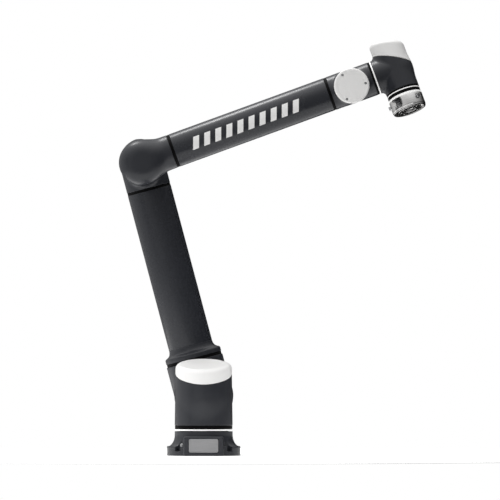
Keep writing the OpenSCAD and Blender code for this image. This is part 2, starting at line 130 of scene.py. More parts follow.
def round_max(a, b, r):
    return np.minimum(np.maximum(a, b), -r) + np.hypot(np.maximum(a + r, 0), np.maximum(b + r, 0))


def tee(p, r, leg_r, blend, top_r=None, span=1.0, base=0.0):
    """Round column along z, from r at base to top_r at base + span, with a leg along +y.
    The two are blended only where they cross at an angle."""
    x, y, z = p.T
    rho = np.hypot(x, y)
    here_r = r + ((top_r or r) - r) * np.clip((z - base) / span, 0, 1)
    leg_rho = np.hypot(x, z)
    column = rho - here_r
    leg = np.hypot(leg_rho, np.minimum(y, 0)) - leg_r
    along = x * x / np.maximum(rho * leg_rho, 1)
    return smooth_min(column, leg, blend * np.clip(1 - along, 0, 1))


def gradient(field, p, e=0.02):
    g = np.empty_like(p)
    for i in range(3):
        step = np.zeros(3)
        step[i] = e
        g[:, i] = field(p + step) - field(p - step)
    return g / (2 * e)


def field_mesh(field, lo, hi, h):
    """bmesh of the surface where field is zero: one point a cell, moved onto the surface."""
    lo = np.array(lo, float)
    n = np.ceil((np.array(hi) - lo) / h).astype(int) + 1
    grid = np.stack(np.meshgrid(*[lo[i] + h * np.arange(n[i]) for i in range(3)], indexing="ij"), -1)
    d = field(grid.reshape(-1, 3)).reshape(n)
    total = np.zeros((*(n - 1), 3))
    count = np.zeros(n - 1)
    crossings = []
    for axis in range(3):
        first = [slice(None)] * 3
        second = [slice(None)] * 3
        first[axis], second[axis] = slice(0, -1), slice(1, None)
        a, b = d[tuple(first)], d[tuple(second)]
        at = np.argwhere((a < 0) != (b < 0))
        va, vb = a[tuple(at.T)], b[tuple(at.T)]
        point = lo + at * h
        point[:, axis] += h * va / (va - vb)
        cells = []
        u, v = (axis + 1) % 3, (axis + 2) % 3
        for du, dv in ((-1, -1), (0, -1), (0, 0), (-1, 0)):
            cell = at.copy()
            cell[:, u] += du
            cell[:, v] += dv
            ok = np.all((cell >= 0) & (cell < n - 1), axis=1)
            np.add.at(total, tuple(cell[ok].T), point[ok])
            np.add.at(count, tuple(cell[ok].T), 1)
            cells.append((cell, ok))
        crossings.append((cells, va < 0))
    used = count > 0
    ids = np.full(n - 1, -1)
    ids[used] = np.arange(used.sum())
    verts = total[used] / count[used][:, None]
    for _ in range(4):
        g = gradient(field, verts)
        verts -= (field(verts) / np.maximum((g * g).sum(1), 0.1))[:, None] * g
    bm = bmesh.new()
    made = [bm.verts.new(v) for v in verts]
    for cells, outward in crossings:
        ok = np.all([c[1] for c in cells], axis=0)
        quads = np.stack([ids[tuple(c[0][ok].T)] for c in cells], 1)
        quads = np.where(outward[ok][:, None], quads, quads[:, ::-1])
        for q in quads:
            bm.faces.new([made[i] for i in q])
    return bm


def cut(bm, field, point, normal, lip=LIP, land=4.0, drop=6.0):
    """Keeps what is behind a plane, and turns the rim in over a small radius, as a wall that shows."""
    no = Vector(normal).normalized()
    co = Vector(point) - no * lip
    parts = bmesh.ops.bisect_plane(
        bm, geom=bm.verts[:] + bm.edges[:] + bm.faces[:], dist=0.2, plane_co=co, plane_no=no,
        use_snap_center=True, clear_outer=True)["geom_cut"]
    rim = [e for e in parts if isinstance(e, bmesh.types.BMEdge) and e.is_boundary]
    ends = list({v for e in rim for v in e.verts})
    slopes = gradient(field, np.array([v.co for v in ends]))
    rings = {}
    for v, g in zip(ends, slopes):
        out = Vector(g)
        out = (out - no * out.dot(no)).normalized()
        turn = [math.radians(a) for a in (22.5, 45, 67.5, 90)]
        points = [v.co - out * lip * (1 - math.cos(a)) + no * lip * math.sin(a) for a in turn]
        points.append(v.co - out * (lip + land) + no * lip)
        points.append(v.co - out * (lip + land) - no * drop)
        rings[v] = [v] + [bm.verts.new(p) for p in points]
    for e in rim:
        loop = e.link_loops[0]
        a, b = rings[loop.vert], rings[loop.link_loop_next.vert]
        for i in range(len(a) - 1):
            bm.faces.new((b[i], a[i], a[i + 1], b[i + 1]))
    return bm


# ---------------------------------------------------------------- turned and flat shapes


def soften(corners, steps=4, closed=True):
    """Profile points, with each corner (r, z, radius) rounded by its radius."""
    out = []
    for i, (x, y, r) in enumerate(corners):
        p = np.array((x, y), float)
        if r <= 0 or (not closed and i in (0, len(corners) - 1)):
            out.append((x, y))
            continue
        a = np.array(corners[i - 1][:2]) - p
        b = np.array(corners[(i + 1) % len(corners)][:2]) - p
        la, lb = np.linalg.norm(a), np.linalg.norm(b)
        half = math.acos(np.clip(a @ b / la / lb, -1, 1)) / 2
        if half > math.radians(88):
            out.append((x, y))
            continue
        d = min(r / math.tan(half), la * 0.49, lb * 0.49)
        start, end, w = p + a / la * d, p + b / lb * d, math.sin(half)
        n = steps if r < 4 else steps * 3
        for t in np.linspace(0, 1, n + 1):
            k = ((1 - t) ** 2, 2 * t * (1 - t) * w, t * t)
            out.append(tuple((k[0] * start + k[1] * p + k[2] * end) / sum(k)))
    return out


def lathe(profile, segments=128, closed=True, shape=None):
    """bmesh of a profile [(r, z), ...] turned about z. shape(ring index, angle) scales the radius."""
    bm = bmesh.new()
    rings = []
    for i, (r, z) in enumerate(profile):
        if abs(r) < 1e-6:
            rings.append([bm.verts.new((0, 0, z))] * segments)
            continue
        ring = []
        for s in range(segments):
            a = 2 * math.pi * s / segments
            k = shape(i, a) if shape else 1
            ring.append(bm.verts.new((r * k * math.cos(a), r * k * math.sin(a), z)))
        rings.append(ring)
    pairs = list(zip(rings, rings[1:] + rings[:1])) if closed else list(zip(rings, rings[1:]))
    for low, high in pairs:
        for s in range(segments):
            t = (s + 1) % segments
            corners = []
            for v in (low[s], low[t], high[t], high[s]):
                if v not in corners:
                    corners.append(v)
            if len(corners) > 2:
                bm.faces.new(corners)
    bmesh.ops.recalc_face_normals(bm, faces=bm.faces[:])
    return bm


def band(r, bore, lo, hi, edge=0.8, groove=0.0):
    """Ring from lo to hi with softened edges, and a fine groove round its middle."""
    mid = (lo + hi) / 2
    outer = [(bore, lo, 0.2), (r, lo, edge)]
    if groove:
        outer += [(r, mid - groove, 0.2), (r - groove * 0.8, mid, 0.2), (r, mid + groove, 0.2)]
    return lathe(soften(outer + [(r, hi, edge), (bore, hi, 0.2)]))


def hexagon(a):
    """Radius of a hexagon, against that of the circle through its corners."""
    third = math.pi / 3
    return math.cos(third / 2) / math.cos((a % third) - third / 2)


def socket_screw(r, h, hex_r, shank=0.0, deep=0.7):
    """Cap screw standing on z = 0, with a hexagon socket in its rounded head."""
    profile = [(0, -shank), (r * 0.55, -shank), (r * 0.55, 0), (r, 0), (r, h * 0.62), (r * 0.93, h * 0.88),
               (r * 0.8, h), (hex_r * 1.14, h), (hex_r, h * 0.94), (hex_r, h * (1 - deep)),
               (0, h * (0.9 - deep))]
    hexed = len(profile) - 3
    return lathe(profile, 24, closed=False, shape=lambda i, a: hexagon(a) if i >= hexed else 1)


def slab(w, h, r, layers):
    """Rounded rectangle in x and z, as a stack of layers (y, inset) from back to front, towards -y."""
    bm = bmesh.new()
    rings = []
    for y, inset in layers:
        rr = max(r - inset, 0.4)
        ring = []
        for qx, qz, start in ((1, 1, 0), (-1, 1, 90), (-1, -1, 180), (1, -1, 270)):
            for k in range(7):
                a = math.radians(start + 15 * k)
                x = qx * (w / 2 - inset - rr) + rr * math.cos(a)
                z = qz * (h / 2 - inset - rr) + rr * math.sin(a)
                ring.append(bm.verts.new((x, y, z)))
        rings.append(ring)
    for low, high in zip(rings, rings[1:]):
        for s in range(len(low)):
            t = (s + 1) % len(low)
            bm.faces.new((low[s], low[t], high[t], high[s]))
    bm.faces.new(rings[0][::-1])
    bm.faces.new(rings[-1])
    bmesh.ops.recalc_face_normals(bm, faces=bm.faces[:])
    return bm


def turned(bm, matrix):
    bm.transform(matrix)
    return bm


def shift(x=0.0, y=0.0, z=0.0, turn=0.0, axis="Z"):
    return Matrix.Translation((x, y, z)) @ Matrix.Rotation(math.radians(turn), 4, axis)


# ---------------------------------------------------------------- putting pieces in place


def mesh_of(name, shapes, matrix):
    """One mesh of several bmeshes, in metres in the shared frame."""
    out = bmesh.new()
    for bm in shapes:
        part = bpy.data.meshes.new("part")
        bm.to_mesh(part)
        bm.free()
        out.from_mesh(part)
        bpy.data.meshes.remove(part)
    mesh = bpy.data.meshes.new(name)
    out.to_mesh(mesh)
    out.free()
    mesh.transform(Matrix.Scale(MM, 4) @ matrix)
    return mesh


def new_object(name, mesh):
    obj = bpy.data.objects.new(name, mesh)
    bpy.context.scene.collection.objects.link(obj)
    return obj


def carve(obj, cutters, matrix):
    """Takes the cutters, given in a housing's frame, out of obj."""
    tool = new_object("cutter", mesh_of("cutter", cutters, matrix))
    mod = obj.modifiers.new("carve", "BOOLEAN")
    mod.operation, mod.object, mod.solver = "DIFFERENCE", tool, "EXACT"
    bpy.context.view_layer.update()
    done = bpy.data.meshes.new_from_object(obj.evaluated_get(bpy.context.evaluated_depsgraph_get()))
    obj.modifiers.clear()
    obj.data = done
    bpy.data.objects.remove(tool)


def place(name, shapes, matrix, body, slot, nodes=(), sharp=38.0, cutters=None, finish=None):
    """A finished piece: its mesh, smooth shading, material, body and the CAD nodes that it stands for."""
    if isinstance(shapes, bmesh.types.BMesh):
        shapes = [shapes]
    obj = new_object(name, mesh_of(name, shapes, matrix))
    if cutters:
        carve(obj, cutters, matrix)
    obj.data.name = name
    obj.data.shade_smooth()
    obj.data.set_sharp_from_angle(angle=math.radians(sharp))
    obj.data.materials.clear()
    obj.data.materials.append(MATERIAL[finish or slot])
    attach(obj, body)
    if nodes:
        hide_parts(*nodes)
    return obj


# ---------------------------------------------------------------- materials


class Nodes:
    """Short way to build one material's node tree."""

    def __init__(self, name):
        self.mat = bpy.data.materials.new(name)
        self.mat.use_nodes = True
        self.tree = self.mat.node_tree
        self.shader = self.tree.nodes["Principled BSDF"]
        self.coords = self.tree.nodes.new("ShaderNodeTexCoord").outputs["Object"]

    def set(self, **values):
        for key, value in values.items():
            self.shader.inputs[key.replace("_", " ")].default_value = value

    def link(self, a, b):
        self.tree.links.new(a, b)

    def noise(self, scale, detail=3.0, rough=0.5, stretch=None):
        node = self.tree.nodes.new("ShaderNodeTexNoise")
        node.inputs["Scale"].default_value = scale
        node.inputs["Detail"].default_value = detail
        node.inputs["Roughness"].default_value = rough
        source = self.coords
        if stretch is not None:
            turn, factors = stretch
            for socket, value in (("Rotation", turn), ("Scale", factors)):
                mapping = self.tree.nodes.new("ShaderNodeMapping")
                mapping.inputs[socket].default_value = value
                self.link(source, mapping.inputs["Vector"])
                source = mapping.outputs["Vector"]
        self.link(source, node.inputs["Vector"])
        return node.outputs["Fac"]

    def remap(self, value, lo, hi, from_lo=0.3, from_hi=0.7):
        node = self.tree.nodes.new("ShaderNodeMapRange")
        node.inputs["From Min"].default_value = from_lo
        node.inputs["From Max"].default_value = from_hi
        node.inputs["To Min"].default_value = lo
        node.inputs["To Max"].default_value = hi
        self.link(value, node.inputs["Value"])
        return node.outputs["Result"]

    def colour(self, value, a, b):
        node = self.tree.nodes.new("ShaderNodeMix")
        node.data_type = "RGBA"
        node.inputs["A"].default_value = (*a, 1)
        node.inputs["B"].default_value = (*b, 1)
        self.link(value, node.inputs["Factor"])
        self.link(node.outputs["Result"], self.shader.inputs["Base Color"])

    def bump(self, height, distance, strength=1.0, under=None):
        node = self.tree.nodes.new("ShaderNodeBump")
        node.inputs["Distance"].default_value = distance
        node.inputs["Strength"].default_value = strength
        self.link(height, node.inputs["Height"])
        if under is not None:
            self.link(under, node.inputs["Normal"])
        self.link(node.outputs["Normal"], self.shader.inputs["Normal"])
        return node.outputs["Normal"]


def coated(name, dark, light, rough, spec=0.5, grain=1400.0, depth=0.00002):
    """Painted or moulded surface: slow tone variation, patchy gloss, and a fine skin."""
    n = Nodes(name)
    n.set(Specular_IOR_Level=spec)
    tone = n.remap(n.noise(9, 4, 0.6), 0, 1)
    n.colour(tone, dark, light)
    gloss = n.remap(n.noise(42, 5, 0.65), rough * 0.93, rough * 1.07)
    n.link(gloss, n.shader.inputs["Roughness"])
    skin = n.bump(n.noise(grain, 2, 0.5), depth, 0.5)
    n.bump(n.noise(grain / 9, 2, 0.5), depth * 3, 0.25, skin)
    return n.mat


def metal(name, dark, light, rough, stretch=None, scale=60.0, depth=0.00001):
    """Bare metal with turning or grinding marks."""
    n = Nodes(name)
    n.set(Metallic=1.0)
    marks = n.noise(scale, 4, 0.6, stretch)
    n.colour(n.remap(marks, 0, 1), dark, light)
    gloss = n.remap(n.noise(scale * 1.7, 3, 0.5, stretch), rough * 0.8, rough * 1.25)
    n.link(gloss, n.shader.inputs["Roughness"])
    n.bump(marks, depth, 0.6)
    return n.mat


def glowing(name, colour, strength):
    """Frosted light guide."""
    n = Nodes(name)
    n.set(Specular_IOR_Level=0.4)
    n.colour(n.remap(n.noise(30, 3), 0, 1), tuple(c * 0.96 for c in colour), colour)
    n.link(n.remap(n.noise(240, 3), 0.32, 0.42), n.shader.inputs["Roughness"])
    n.shader.inputs["Emission Color"].default_value = (*colour, 1)
    n.shader.inputs["Emission Strength"].default_value = strength
    n.bump(n.noise(900, 2), 0.00001, 0.4)
    return n.mat


def board_green():
    """Lacquered circuit board."""
    n = Nodes("drive_board")
    n.colour(n.remap(n.noise(700, 2, 0.5), 0, 1, 0.45, 0.55), (0.012, 0.09, 0.028), (0.02, 0.15, 0.045))
    n.link(n.remap(n.noise(300, 2), 0.3, 0.5), n.shader.inputs["Roughness"])
    n.bump(n.noise(1200, 2), 0.00005, 0.5)
    return n.mat


def copper_windings():
    """Wound copper, with its wires running round the axis."""
    n = Nodes("motor_copper")
    n.set(Metallic=0.85)
    threads = n.noise(1500, 2, 0.5, ((0, 0, 0), (0.15, 0.15, 1)))
    n.colour(n.remap(threads, 0, 1), (0.33, 0.12, 0.045), (0.62, 0.29, 0.12))
    n.link(n.remap(threads, 0.25, 0.5), n.shader.inputs["Roughness"])
    n.bump(threads, 0.0001, 0.8)
    return n.mat


# Turn that brings the tool axis onto z, for marks that run round the flange
_tool_turn = Vector((0, 0, 1)).rotation_difference(TOOL).inverted().to_euler()
ROUND_FLANGE = (tuple(_tool_turn), (0.02, 0.02, 9.0))

MATERIAL = {
    "charcoal_paint": coated("charcoal_paint", (0.0215, 0.0228, 0.0275), (0.024, 0.0255, 0.0305), 0.32, 0.30),
    "charcoal_tube": coated("charcoal_tube", (0.0205, 0.0218, 0.0265), (0.023, 0.0245, 0.0295), 0.27, 0.30,
                            grain=1900.0),
    "white_cap": coated("white_cap", (0.83, 0.825, 0.815), (0.86, 0.855, 0.845), 0.33, 0.45, 1100.0,
                        0.000015),
    "black_seal": coated("black_seal", (0.0012, 0.0012, 0.0013), (0.0026, 0.0026, 0.0028), 0.6, 0.06, 800.0,
                         0.00004),
    "light_ring": glowing("light_ring", (0.93, 0.93, 0.92), 0.22),
    "plate_grey": metal("plate_grey", (0.28, 0.28, 0.285), (0.34, 0.34, 0.345), 0.5,
                        ((0, 0, 0), (0.05, 1, 6)), 400.0),
    "flange_metal": metal("flange_metal", (0.50, 0.495, 0.49), (0.66, 0.655, 0.65), 0.16, ROUND_FLANGE, 60.0),
    "screw_steel": metal("screw_steel", (0.30, 0.305, 0.31), (0.46, 0.465, 0.47), 0.32, None, 900.0),
    "socket_metal": metal("socket_metal", (0.34, 0.345, 0.35), (0.50, 0.50, 0.505), 0.36, None, 500.0),
    "reducer_steel": metal("reducer_steel", (0.42, 0.43, 0.44), (0.58, 0.59, 0.60), 0.3, None, 300.0),
    "motor_copper": copper_windings(),
    "drive_board": board_green(),
    "insulator": coated("insulator", (0.008, 0.008, 0.009), (0.014, 0.014, 0.015), 0.45, 0.4, 900.0),
}

# ---------------------------------------------------------------- foot


BOLT_TURNS = (45, 135, 225, 315)
BOLT_CIRCLE_R, BOLT_HOLE_R, BOLT_SEAT_R, BOLT_SEAT_Z = 85, 4.5, 9, 11
HUB_BORE_R = 62
PANEL_HALF_W, REAR_PAD_HALF_W = 50, 32
FLARE_TOP, FOOT_RIM_H = 53.0, 23.0


def foot_field(p):
    """Foot: rim, concave flare and neck, front and rear pads, bolt pockets and the plate's recess."""
    x, y, z = p.T
    q = np.hypot(x, y)
    neck = TURRET_R
    column = round_max(q - neck, z - FOOT_TOP, 1.2)
    rim = round_max(q - FOOT_R, z - FOOT_RIM_H, 1.6)
    hollow = np.hypot((FOOT_R - q) / (FOOT_R - neck), (FLARE_TOP - z) / (FLARE_TOP - FOOT_RIM_H))
    flare = np.maximum.reduce([q - FOOT_R, z - FLARE_TOP, (1 - hollow) * (FOOT_R - neck)])
    d = np.minimum(smooth_min(rim, flare, 1.5), column)

    def block(half_w, y0, y1, top, r):
        side = round_max(np.abs(x) - half_w, np.abs(y - (y0 + y1) / 2) - abs(y1 - y0) / 2, r)
        return round_max(side, z - top, r)

    d = smooth_min(d, block(PANEL_HALF_W, -95, -55, 48, 2.6), 2.5)
    d = smooth_min(d, block(REAR_PAD_HALF_W, 55, 94, 50, 2.6), 2.5)
    for turn in BOLT_TURNS:
        c, s = math.cos(math.radians(turn)), math.sin(math.radians(turn))
        u, v = x * c + y * s - BOLT_CIRCLE_R, -x * s + y * c
        pocket = np.where(u > 0, np.abs(v), np.hypot(u, v)) - BOLT_SEAT_R
        d = round_max(d, -round_max(pocket, BOLT_SEAT_Z - z, 1.5), 1.5)
        d = np.maximum(d, BOLT_HOLE_R - np.hypot(u, v))
    plate = round_max(np.abs(x) - 37.9, np.abs(z - 25.5) - 17.7, 5)
    d = np.maximum(d, -np.maximum(plate, y + 93.5))
    d = np.maximum(d, HUB_BORE_R - q - 200 * (z < FOOT_TOP - 9))
    return round_max(d, 0.02 - z, 0.9)


foot = field_mesh(foot_field, (-97, -99, -2), (97, 98, 62), 1.6)
place("foot_casting", foot, BASE, "base", "charcoal_paint", ["base_foot"], sharp=50)

plate_lo, plate_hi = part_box("rating_plate")
plate_w, plate_h = (plate_hi[0] - plate_lo[0]) / MM, (plate_hi[2] - plate_lo[2]) / MM
plate_back, plate_front = plate_hi[1] / MM, plate_lo[1] / MM
plate_at = shift(0, 0, (plate_lo[2] + plate_hi[2]) / 2 / MM)
rim_in = 2.4
place("rating_plate_blank", slab(plate_w, plate_h, 4.9, [
    (plate_back, 0), (plate_front + 0.5, 0), (plate_front, 0.5), (plate_front, rim_in),
    (plate_front + 0.25, rim_in + 0.25), (plate_front + 0.25, rim_in + 0.8), (plate_front, rim_in + 1.05)]),
    plate_at, "base", "plate_grey", ["rating_plate"])

ring_lo, ring_hi = (v[2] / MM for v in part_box("base_light_ring"))
place("foot_light_ring", band(TURRET_R - 0.2, 62.2, ring_lo, ring_hi, 1.2), BASE, "base", "light_ring",
      ["base_light_ring"])

earth_z, earth_x = 27.0, -56.0
earth_r = FOOT_R - (FOOT_R - TURRET_R) * math.sin(math.acos((FLARE_TOP - earth_z) / (FLARE_TOP - FOOT_RIM_H)))
earth_y = -math.sqrt(earth_r ** 2 - earth_x ** 2)
earth_way = Vector((earth_x, earth_y, 30)).normalized()
earth_turn = earth_way.to_track_quat("Z", "Y").to_matrix().to_4x4()
earth = Matrix.Translation((earth_x, earth_y, earth_z)) @ earth_turn
place("foot_earth_screw", [socket_screw(3.4, 2.4, 1.5, 3), lathe(soften(
    [(2, -0.6, 0), (4.6, -0.6, 0.3), (4.6, 0.3, 0.3), (2, 0.3, 0)]), 32)], earth, "base", "screw_steel")


def round_connector(r, back, lip_z, front, pins, pin_r, flange=None):
    """Round plug socket along +z: knurled ring, recessed face, and pins."""
    outline = [(r * 0.7, back, 0), (r, back, 0.5), (r, lip_z - 1.6, 0.3), (r * 0.9, lip_z - 1.2, 0.3),
               (r * 0.9, front, 0.5), (r * 0.74, front, 0.4), (r * 0.74, lip_z - 3, 0.2), (0, lip_z - 3, 0)]
    grip = lathe(soften(outline, closed=False), 96, closed=False,
                 shape=lambda i, a: 1 + (0.012 * math.cos(a * 32) if 1 < i < 10 else 0))
    shapes = [grip]
    for k in range(pins):
        a = 2 * math.pi * k / pins
        pin = lathe(soften([(0, lip_z - 4, 0), (0.9, lip_z - 4, 0), (0.9, front - 1.2, 0.5),
                            (0, front - 1.2, 0)], closed=False), 16, closed=False)
        shapes.append(turned(pin, shift(pin_r * math.cos(a), pin_r * math.sin(a))))
    return shapes


inlet_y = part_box("power_socket")[1][1] / MM
inlet_z = sum(v[2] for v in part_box("power_socket")) / 2 / MM
inlet = axes(Vector((0, inlet_y - 17, inlet_z)), Vector((0, 0, 1)), ACROSS)
inlet_parts = round_connector(14.4, -1, 8.5, 17, 6, 5.6)
inlet_parts.append(turned(slab(34, 34, 3.5, [(0, 0), (-2.4, 0), (-3, 0.6)]), ALONG_LEG))
INLET_SCREW = 13.6
for sx in (-INLET_SCREW, INLET_SCREW):
    for sy in (-INLET_SCREW, INLET_SCREW):
        inlet_parts.append(turned(socket_screw(2.6, 1.8, 1.1), shift(sx, sy, 3)))
place("power_inlet_socket", inlet_parts, inlet, "base", "socket_metal", ["power_socket"])

# ---------------------------------------------------------------- columns with slanted caps


def split_plane(z, tilt, offset):
    """Point and normal of the joint line between a housing and its cap, moved up by offset."""
    no = Vector((0, -math.sin(tilt), math.cos(tilt)))
    return Vector((0, 0, z)) + no * offset, no


def column(tag, frame_of, body, nodes, r, top_r, leg_r, blend, face, leg_end, split_z, split, top,
           rounding, h, screw_z):
    """Housing with a side leg, its white slanted cap, and the cap's two sunk screws. h is the mesh step."""
    def body_field(p):
        return tee(p, r, leg_r, blend, top_r, face + split_z, -face)

    def cap_field(p):
        x, y, z = p.T
        slope = (z - top) * math.cos(TOP_SLOPE) - y * math.sin(TOP_SLOPE)
        return round_max(body_field(p), slope, rounding)

    reach = r + 6
    shell = field_mesh(body_field, (-reach, -reach, -face - 4), (reach, leg_end + 4, top + 12), h)
    cut(shell, body_field, (0, 0, -face), (0, 0, -1))
    cut(shell, body_field, (0, leg_end, 0), (0, 1, 0))
    at, no = split_plane(split_z, split, -SEAM)
    cut(shell, body_field, at, no)
    place(tag + "_shell", shell, frame_of, body, "charcoal_paint", [nodes[0]])

    cap = field_mesh(cap_field, (-reach, -reach, split_z - reach * math.tan(split) - 6),
                     (reach, reach, top + 20), h)
    at, no = split_plane(split_z, split, SEAM)
    cut(cap, cap_field, at, -no)
    seats, screws = [], []
    for turn in (36, 144):
        here = Matrix.Rotation(math.radians(turn), 4, "Z") @ shift(0.8 * r)
        seats.append(turned(lathe([(0, screw_z - 0.1), (3.9, screw_z - 0.1), (4.6, screw_z + 0.8),
                                   (4.6, screw_z + 30), (0, screw_z + 30)], 32, closed=False), here))
        screws.append(turned(socket_screw(3.4, 2.2, 1.6, 3), here @ shift(z=screw_z)))
    place(tag + "_top_cap", cap, frame_of, body, "white_cap", [nodes[1]], cutters=seats)
    place(tag + "_cap_bolts", screws, frame_of, body, "screw_steel", [nodes[2]])


TURRET_FACE = SHOULDER.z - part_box("turret_housing")[0][2] / MM
column("turret", TURRET, "turret", ["turret_housing", "turret_cap", "turret_cap_screws"], r=TURRET_R,
       top_r=TURRET_TOP_R, leg_r=TURRET_LEG_R, blend=26, face=TURRET_FACE, leg_end=84, split_z=57.3,
       split=math.radians(20), top=82.5, rounding=13, h=2.6, screw_z=85.5)

seal_lo, seal_hi = (v[2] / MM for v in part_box("turret_seal"))
place("turret_base_seal", band(TURRET_R - 0.6, 62, seal_lo, seal_hi, 0.8, 0.5), BASE, "turret", "black_seal",
      ["turret_seal"])

WRIST_SPLIT = math.radians(26.6)
WRIST2_LEG, WRIST3_LEG = WRIST_Y - FOREARM_Y - 49.0, 53.3
WRIST2_FACE, WRIST3_FACE = 58.0, 57.2
for tag, body, frame_of, face, leg_end in (("wrist2", "wrist_2", WRIST2_F, WRIST2_FACE, WRIST2_LEG),
                                           ("wrist3", "wrist_3", WRIST3_F, WRIST3_FACE, WRIST3_LEG)):
    column(tag, frame_of, body, [tag + "_housing", tag + "_cap", tag + "_cap_screws"], r=FORE_R,
           top_r=FORE_R - 0.3, leg_r=WRIST_LEG_R, blend=14, face=face, leg_end=leg_end, split_z=28.6,
           split=WRIST_SPLIT, top=76, rounding=12, h=1.8, screw_z=73.5)

# ---------------------------------------------------------------- drums with round caps


def drum(tag, frame_of, body, node, r, leg_r, blend, face, back, leg_end, h):
    """Housing of a cross-wise joint: a barrel open at both ends, with a leg. h is the mesh step."""
    def drum_field(p):
        return tee(p, r, leg_r, blend)

    reach = r + 6
    shell = field_mesh(drum_field, (-reach, -reach, -face - 4), (reach, leg_end + 4, back + 4), h)
    cut(shell, drum_field, (0, 0, -face), (0, 0, -1))
    cut(shell, drum_field, (0, 0, back), (0, 0, 1), land=12)
    cut(shell, drum_field, (0, leg_end, 0), (0, 1, 0))
    place(tag, shell, frame_of, body, "charcoal_paint", [node])


def drum_cap(tag, frame_of, body, node, r, start, h, rounding):
    """Round cap: rounded shoulder, flat disc with a fine edge line, and three screws in deep seats."""
    disc = r - rounding
    profile = soften([(r - 4, start + 0.4, 0), (r, start + 0.4, 0.8), (r, start + h, rounding),
                      (disc + 0.2, start + h, 0.3), (disc - 0.25, start + h - 0.3, 0.2),
                      (disc - 0.7, start + h, 0.2), (0, start + h, 0)], 5, closed=False)
    seats, screws = [], []
    for turn in (20.7, 140.7, 260.7):
        here = Matrix.Rotation(math.radians(turn), 4, "Z") @ shift(0.8 * r, 0, start + h - 4)
        seat = lathe([(0, 0), (3.3, 0), (3.3, 3.2), (4.2, 8), (4.2, 20), (0, 20)], 32, closed=False)
        seats.append(turned(seat, here))
        screws.append(turned(socket_screw(2.9, 2.4, 1.5, 2), here))
    profile += [(0, start + h - 6), (r - 8, start + h - 6), (r - 8, start + 0.4)]
    place(tag, lathe(profile, closed=True), frame_of, body, "white_cap", [node], cutters=seats)
    return screws


SHOULDER_FACE, SHOULDER_BACK, SHOULDER_LEG, SHOULDER_LEG_R = 78, 73, 92.5, 73.5
LOW_ELBOW_BACK, LOW_ELBOW_LEG = 57.5, 66.5
WRIST1_BACK = 46
drum("shoulder_drum", SHOULDER_F, "upper_arm", "shoulder_housing", r=SHOULDER_R, leg_r=SHOULDER_LEG_R,
     blend=24, face=SHOULDER_FACE, back=SHOULDER_BACK, leg_end=SHOULDER_LEG, h=2.6)
drum("elbow_lower_drum", ELBOW_F, "upper_arm", "elbow_lower_housing", r=ELBOW_R, leg_r=UPPER_R, blend=18,
     face=64, back=LOW_ELBOW_BACK, leg_end=LOW_ELBOW_LEG, h=2.2)
drum("wrist1_drum", WRIST1_F, "forearm", "wrist1_housing", r=WRIST1_R, leg_r=FORE_R, blend=14,
     face=44, back=WRIST1_BACK, leg_end=55, h=1.8)

rear = [turned(s, SHOULDER_F) for s in drum_cap("shoulder_round_cap", SHOULDER_F, "upper_arm", "shoulder_cap",
                                                SHOULDER_R, SHOULDER_BACK, 15, 12)]
rear += [turned(s, ELBOW_F) for s in drum_cap("elbow_round_cap", ELBOW_F, "upper_arm", "elbow_cap",
                                              ELBOW_R, LOW_ELBOW_BACK, 14, 11)]
place("rear_cap_bolts", rear, BASE, "upper_arm", "screw_steel", ["rear_cap_screws"])
wrist1_screws = drum_cap("wrist1_round_cap", WRIST1_F, "forearm", "wrist1_cap", WRIST1_R + 0.6, WRIST1_BACK,
                         12, 10)
place("wrist1_cap_bolts", wrist1_screws, WRIST1_F, "forearm", "screw_steel", ["wrist1_cap_screws"])

# ---------------------------------------------------------------- upper arm

SHOULDER_SEAL_W, ARM_BAND_W = 5.6, 7
COLLAR_FROM, COLLAR_TO, SLOPE_Z, FILLET, RIM = 100.5, 134.0, 117.0, 8.0, 6.0
place("shoulder_joint_seal",
      band(SHOULDER_R - 2, 60, -SHOULDER_FACE - SHOULDER_SEAL_W, -SHOULDER_FACE, 0.8, 0.5), SHOULDER_F,
      "upper_arm", "black_seal", ["shoulder_seal"])
place("shoulder_black_band", band(COLLAR_R - 1, 50, SHOULDER_LEG, COLLAR_FROM, 0.8, 0.6), UPPER,
      "upper_arm", "black_seal", ["shoulder_band"])

collar = soften([(UPPER_R - TUBE_WALL, COLLAR_FROM, 0), (COLLAR_R, COLLAR_FROM, 0.9)], closed=False)
collar += [(COLLAR_R - RIM + RIM * math.cos(math.radians(a)),
            COLLAR_FROM + 8 + RIM * math.sin(math.radians(a))) for a in range(0, 81, 8)]
collar += [(UPPER_R + FILLET * (1 - math.sin(math.radians(a))),
            SLOPE_Z + (COLLAR_TO - SLOPE_Z) * (1 - math.cos(math.radians(a)))) for a in range(15, 91, 5)]
place("arm_root_collar", lathe(collar + [(UPPER_R - TUBE_WALL, COLLAR_TO)]), UPPER, "upper_arm",
      "charcoal_paint", ["arm_collar"])

tube_end = ARM_LEN - LOW_ELBOW_LEG - ARM_BAND_W
place("upper_arm_sleeve", lathe(soften([(UPPER_R - TUBE_WALL, COLLAR_TO, 0), (UPPER_R, COLLAR_TO, 0.2),
                                        (UPPER_R, tube_end, 0.9), (UPPER_R - TUBE_WALL, tube_end, 0)])),
      UPPER, "upper_arm", "charcoal_tube", ["upper_arm_tube"])
place("upper_arm_black_band",
      band(UPPER_R - 0.5, UPPER_R - TUBE_WALL, tube_end, tube_end + ARM_BAND_W, 0.8, 0.5), UPPER,
      "upper_arm", "black_seal", ["upper_arm_band"])

# ---------------------------------------------------------------- elbow and forearm

ELBOW_FACE, REAR_BAND, REAR_BAND_W = 57.6, 82.0, 7.5


